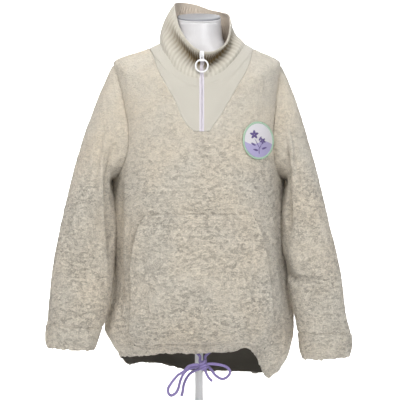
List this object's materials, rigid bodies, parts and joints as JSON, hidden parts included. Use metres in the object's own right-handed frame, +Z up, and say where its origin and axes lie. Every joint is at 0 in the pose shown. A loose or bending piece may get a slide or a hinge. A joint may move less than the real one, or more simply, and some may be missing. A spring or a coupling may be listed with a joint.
{
  "type": "nursing sweater on dress form",
  "caption": "Cream teddy-fleece half-zip sweater with knit yoke, rib funnel collar, kangaroo pocket and lilac drawstring bow, on a white limbless dress form.",
  "frame": {"origin": "centre of the stand's foot on the floor", "axes": "+Z up, -Y out of the garment's front, +X towards the viewer's right as the front is seen"},
  "size_m": [0.6645, 0.3359, 0.9433],
  "materials": {
    "fleece": "matte",
    "knit": "matte",
    "rib": "matte",
    "zip": "satin",
    "pull": "gloss",
    "patch": "satin",
    "cord": "satin",
    "form": "satin",
    "cap": "matte",
    "stand": "satin"
  },
  "bodies": {
    "garment": {"front": "fleece", "back": "fleece", "sleeve_left": "fleece", "sleeve_right": "fleece", "pocket": "fleece", "yoke_left": "knit", "yoke_right": "knit", "collar": "rib", "zip": "zip", "zip_slider": "pull", "patch": "patch", "cord_left": "cord", "cord_right": "cord", "bow_left_loop": "cord", "bow_right_loop": "cord", "bow_left_tail": "cord", "bow_right_tail": "cord", "bow_knot": "cord", "dress_form": "form", "neck_cap": "cap", "pole": "stand", "base_plate": "stand"},
    "pull": {"zip_pull": "pull"}
  },
  "joints": [
    {"name": "zip_pull_hinge", "type": "hinge", "parent": "garment", "child": "pull", "pos_m": [0.006, -0.10964, 0.8058], "axis": [-1, 0, 0], "range_deg": [0, 120]}
  ]
}
